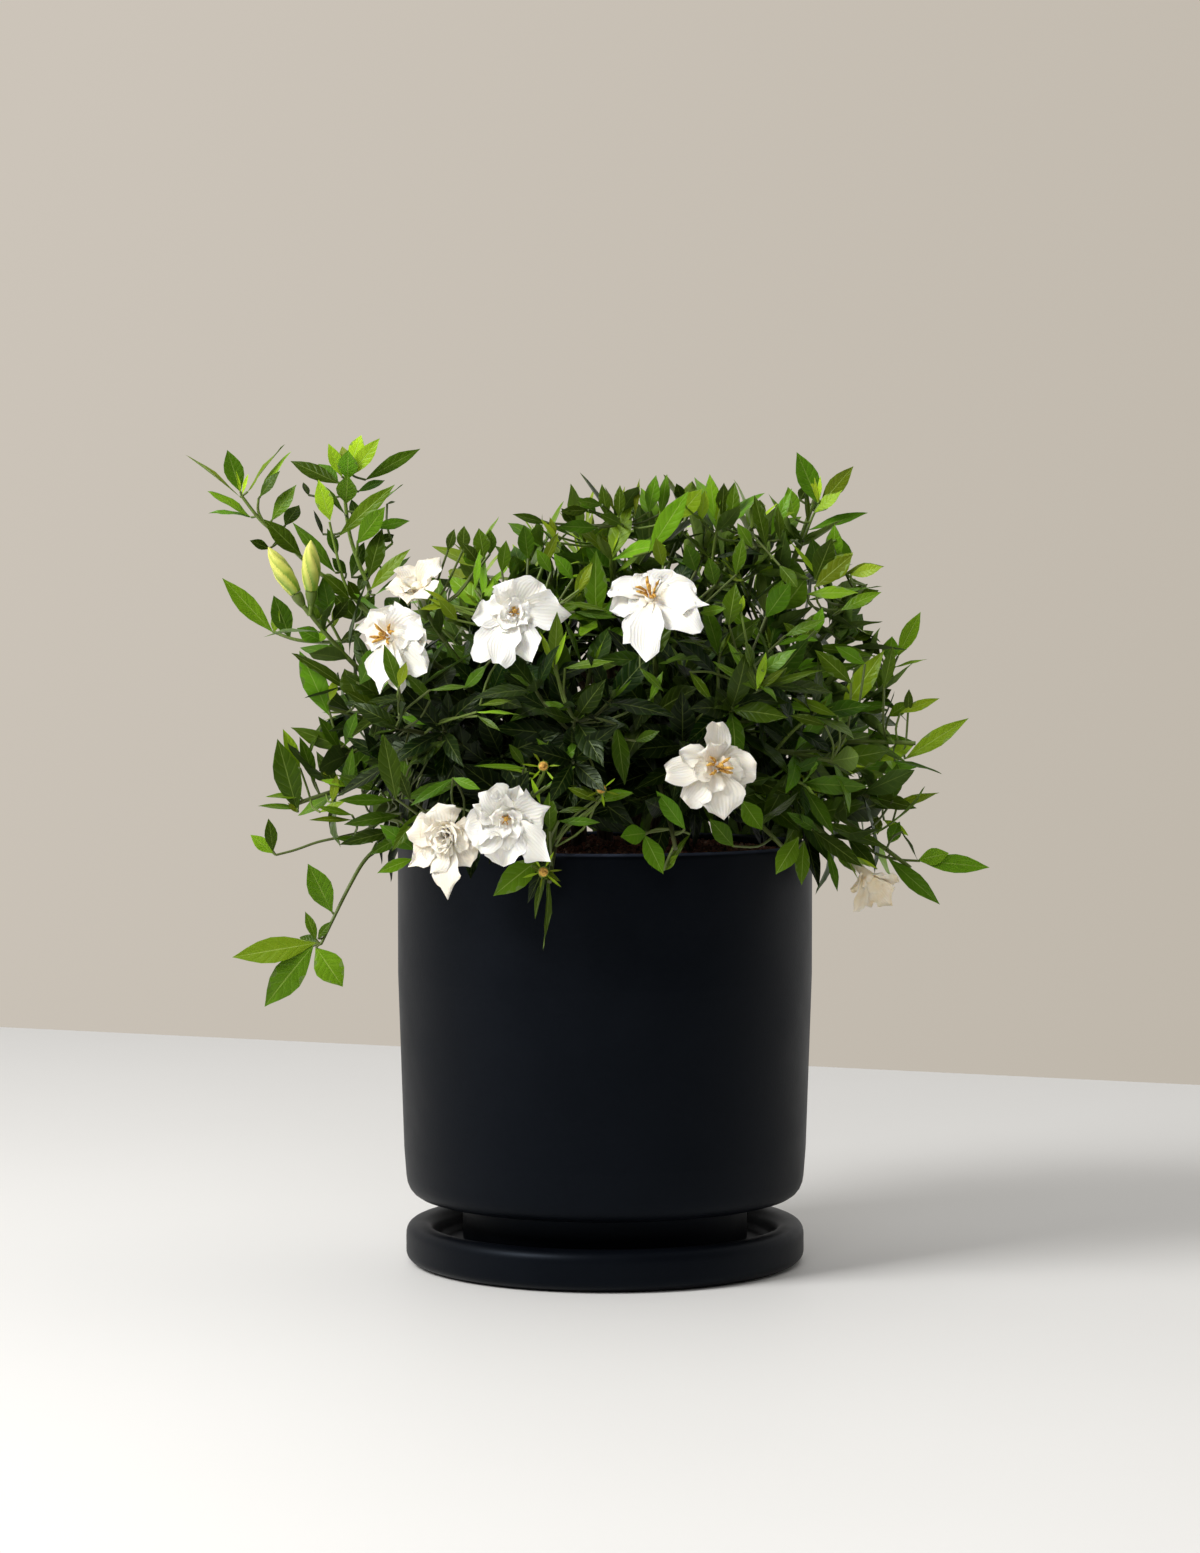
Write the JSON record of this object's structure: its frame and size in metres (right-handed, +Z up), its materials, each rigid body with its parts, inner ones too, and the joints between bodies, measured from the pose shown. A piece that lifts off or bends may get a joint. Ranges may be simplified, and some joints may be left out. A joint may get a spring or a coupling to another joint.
{
  "type": "potted flowering shrub",
  "caption": "Dwarf gardenia with glossy evergreen leaves, double white blooms and furled buds, growing in a dark round pot that stands in its own low saucer.",
  "frame": {"origin": "middle of the saucer's flat underside, on the axis of the pot and the saucer", "axes": "+Z up along the pot's axis, -Y towards the front, where most of the blooms are"},
  "size_m": [0.3974, 0.3306, 0.4313],
  "materials": {
    "pot_glaze": "satin",
    "saucer_glaze": "satin",
    "soil": "matte",
    "bark": "matte",
    "leaf": "gloss",
    "petal": "matte",
    "bud": "satin"
  },
  "bodies": {
    "root": {"pot": "pot_glaze", "saucer": "saucer_glaze", "soil": "soil", "wood_1": "bark", "wood_2": "bark", "wood_3": "bark", "wood_4": "bark", "wood_5": "bark", "wood_6": "bark", "wood_7": "bark", "bloom_left": "petal", "bloom_behind_left": "petal", "bloom_upper": "petal", "bloom_top": "petal", "bloom_right": "petal", "bloom_lower_left": "petal", "bloom_lower": "petal", "bloom_hanging": "petal", "bud_left": "bud", "bud_right": "bud", "spray_left_tall": "leaf", "spray_left_far": "leaf", "spray_left_mid": "leaf", "spray_left_shoulder": "leaf", "spray_left_low": "leaf", "spray_left_hanging": "leaf", "spray_top_1": "leaf", "spray_top_2": "leaf", "spray_top_3": "leaf", "spray_top_4": "leaf", "spray_top_5": "leaf", "spray_right_tall": "leaf", "spray_right_upper": "leaf", "spray_right_mid": "leaf", "spray_right_arrow": "leaf", "spray_right_low": "leaf", "spray_right_lowest": "leaf", "spray_front_left_face": "leaf", "spray_front_left_drop": "leaf", "spray_front_middle_drop": "leaf", "spray_front_face": "leaf", "spray_front_right_face": "leaf", "spray_front_right_side": "leaf", "spray_front_right_drop": "leaf", "spray_back_left_low": "leaf", "spray_back_left_high": "leaf", "spray_back_low": "leaf", "spray_back_high": "leaf", "spray_back_middle": "leaf", "spray_back_right_low": "leaf", "spray_back_right_high": "leaf", "flower_stem_left": "leaf", "flower_stem_behind_left": "leaf", "flower_stem_upper": "leaf", "flower_stem_top": "leaf", "flower_stem_right": "leaf", "flower_stem_lower_left": "leaf", "flower_stem_lower": "leaf", "flower_stem_hanging": "leaf", "bud_stem": "leaf"}
  },
  "joints": []
}
